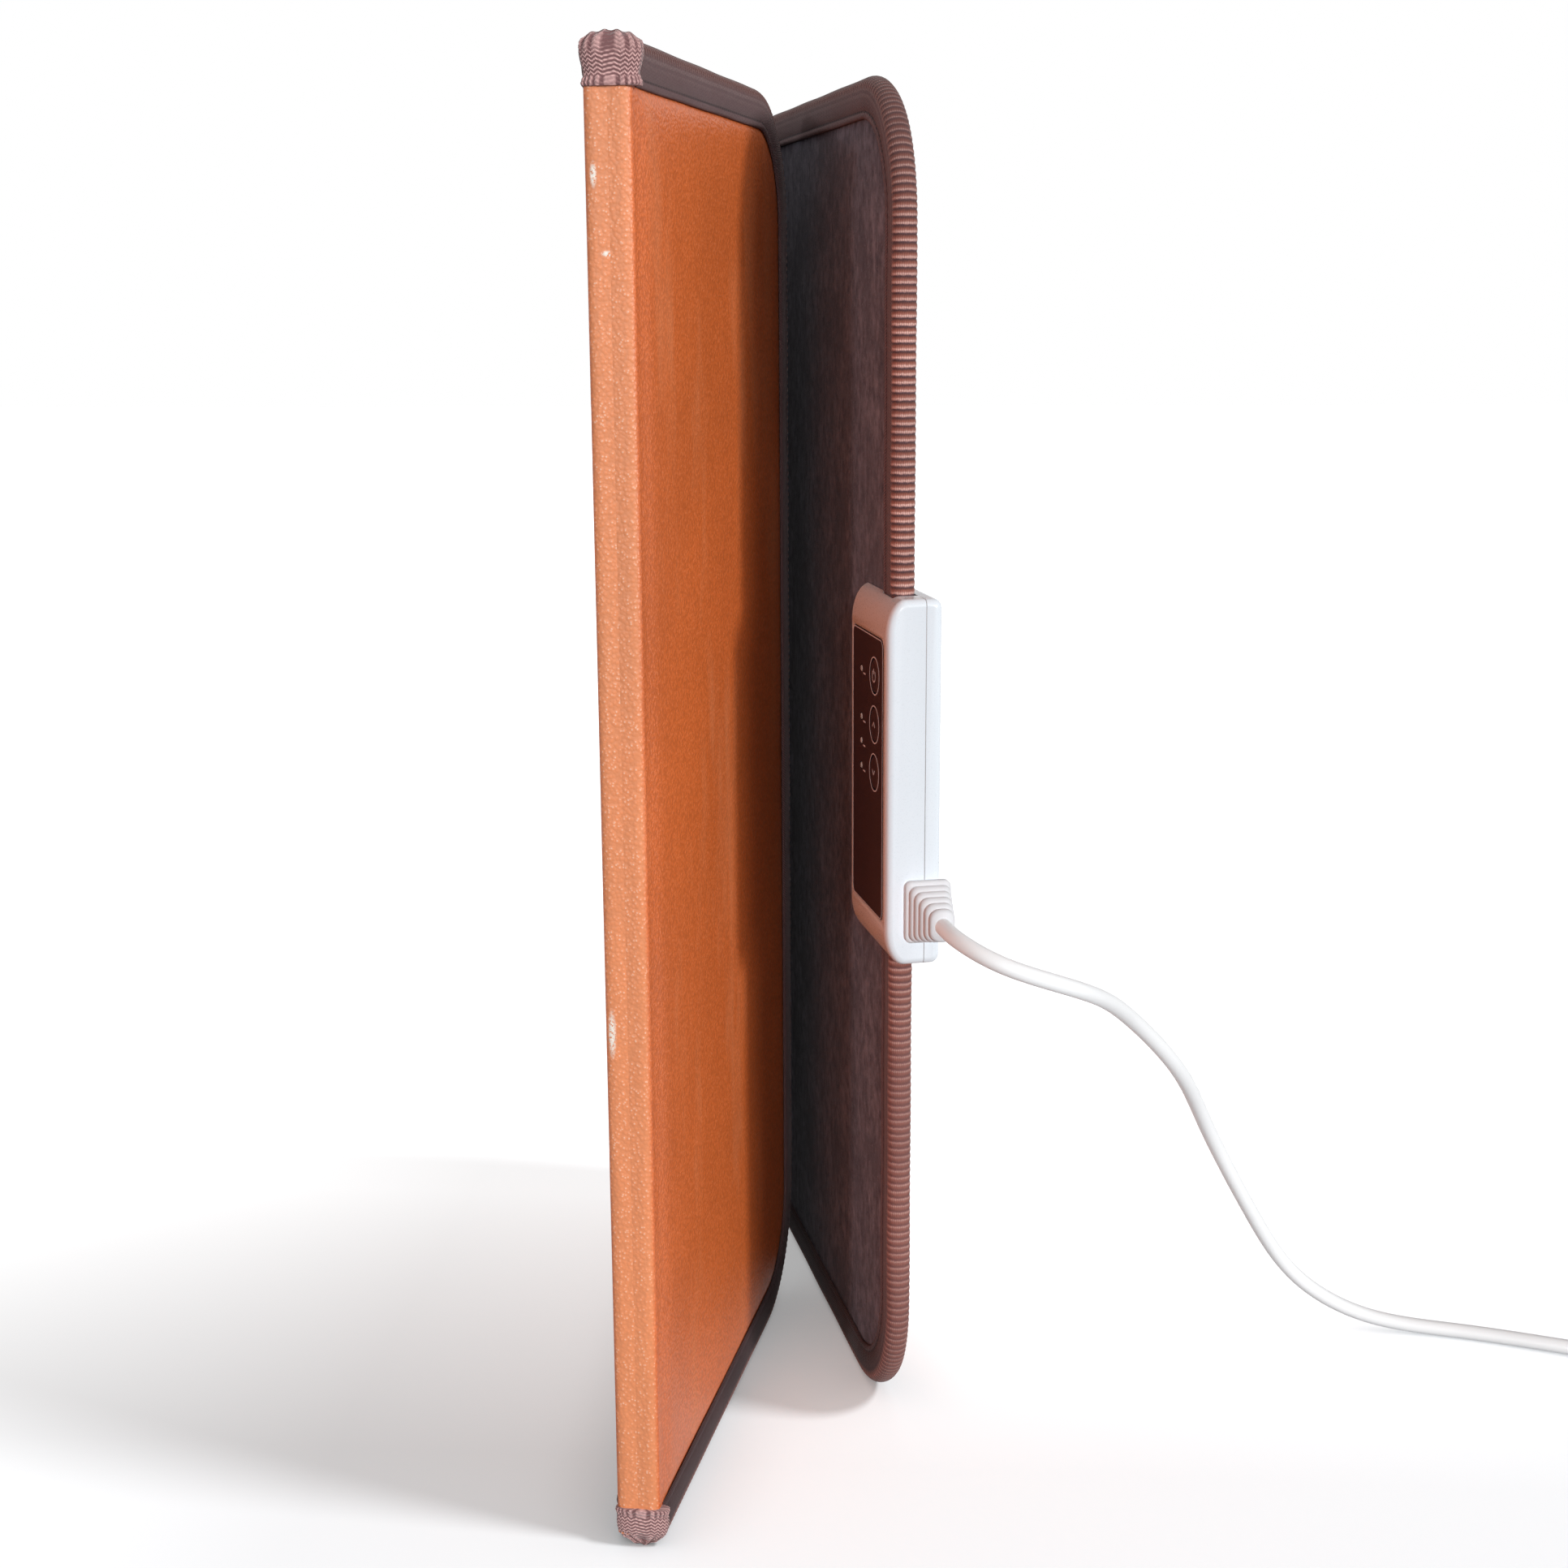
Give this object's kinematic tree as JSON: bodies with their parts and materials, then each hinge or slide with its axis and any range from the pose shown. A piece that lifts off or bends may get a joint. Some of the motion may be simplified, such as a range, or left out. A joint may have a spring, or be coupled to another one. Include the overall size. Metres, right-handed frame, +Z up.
{
  "type": "under desk heater panel",
  "caption": "Folding under desk heater: three leather and felt panels with taped edges on fabric spines, a clip-over push button controller and a mains cord.",
  "frame": {"origin": "centre of the back panel's foot, mid width and mid thickness, on the floor it stands on", "axes": "+X along the back panel from the left spine to the right spine, -Y out of the back panel's felt side, +Z up"},
  "size_m": [0.3242, 0.4651, 0.5],
  "materials": {
    "leather": "pebbled, satin",
    "felt": "short nap felt",
    "tape": "ribbed woven tape",
    "core_board": "plain",
    "foam": "felted foam",
    "heating_film": "plain",
    "white_plastic": "satin",
    "overlay": "satin",
    "button": "satin, printed",
    "lens": "frosted",
    "circuit": "solder mask",
    "black_plastic": "plain",
    "cord_vinyl": "smooth vinyl",
    "steel": "zinc plated",
    "brass": "bright"
  },
  "bodies": {
    "back_panel": {"back_leather_cover": "leather", "back_felt_lining": "felt", "back_heating_film": "heating_film", "back_foam_pad": "foam", "back_core_board": "core_board", "back_top_binding": "tape", "back_bottom_binding": "tape", "overheat_cutout": "black_plastic"},
    "left_spine": {"left_spine_leather": "leather", "left_spine_lead": "heating_film", "left_spine_felt": "felt", "left_spine_cap_top": "tape", "left_spine_cap_bottom": "tape"},
    "left_wing": {"left_leather_cover": "leather", "left_felt_lining": "felt", "left_heating_film": "heating_film", "left_foam_pad": "foam", "left_core_board": "core_board", "left_edge_binding": "tape"},
    "right_spine": {"right_spine_leather": "leather", "right_spine_lead": "heating_film", "right_spine_felt": "felt", "right_spine_cap_top": "tape", "right_spine_cap_bottom": "tape"},
    "right_wing": {"right_leather_cover": "leather", "right_felt_lining": "felt", "right_heating_film": "heating_film", "right_foam_pad": "foam", "right_core_board": "core_board", "right_edge_binding_upper": "tape", "right_edge_binding_lower": "tape", "temperature_sensor": "black_plastic", "controller_front_shell": "white_plastic", "controller_back_shell": "white_plastic", "control_overlay": "overlay", "indicator_lenses": "lens", "circuit_board": "circuit", "power_triac": "black_plastic", "supply_capacitor": "black_plastic", "film_lead_pair": "black_plastic", "case_screw_1": "steel", "case_screw_2": "steel", "case_screw_3": "steel", "case_screw_4": "steel", "strain_relief": "cord_vinyl", "power_cord": "cord_vinyl", "cord_coil": "cord_vinyl", "cord_tie": "black_plastic", "plug_body": "cord_vinyl", "plug_blade_left": "brass", "plug_blade_right": "brass"},
    "power_button": {"power_button": "button"},
    "up_button": {"up_button": "button"},
    "down_button": {"down_button": "button"}
  },
  "joints": [
    {"name": "right_spine_fold", "type": "hinge", "parent": "back_panel", "child": "right_spine", "pos_m": [0.1582, 0.0031, 0.25], "axis": [0, 0, 1], "range_deg": [-4.9, 81.85]},
    {"name": "right_wing_fold", "type": "hinge", "parent": "right_spine", "child": "right_wing", "pos_m": [0.16251, -0.02699, 0.25], "axis": [0, 0, 1], "range_deg": [-4.9, 81.85]},
    {"name": "left_spine_fold", "type": "hinge", "parent": "back_panel", "child": "left_spine", "pos_m": [-0.1582, 0.0031, 0.25], "axis": [0, 0, -1], "range_deg": [-3.77, 86.23]},
    {"name": "left_wing_fold", "type": "hinge", "parent": "left_spine", "child": "left_wing", "pos_m": [-0.15917, -0.01167, 0.25], "axis": [0, 0, -1], "range_deg": [-3.77, 86.23]},
    {"name": "power_button_press", "type": "slide", "parent": "right_wing", "child": "power_button", "axis": [0.2807, -0.9598, 0], "range_m": [0, 0.0005], "stiffness_N_per_m": 600, "springref_m": -0.002},
    {"name": "up_button_press", "type": "slide", "parent": "right_wing", "child": "up_button", "axis": [0.2807, -0.9598, 0], "range_m": [0, 0.0005], "stiffness_N_per_m": 600, "springref_m": -0.002},
    {"name": "down_button_press", "type": "slide", "parent": "right_wing", "child": "down_button", "axis": [0.2807, -0.9598, 0], "range_m": [0, 0.0005], "stiffness_N_per_m": 600, "springref_m": -0.002}
  ],
  "couplings": [
    {"joint": "right_wing_fold", "follows": "right_spine_fold", "ratio": 1},
    {"joint": "left_spine_fold", "follows": "right_spine_fold", "ratio": 0.76},
    {"joint": "left_wing_fold", "follows": "right_spine_fold", "ratio": 0.76}
  ]
}
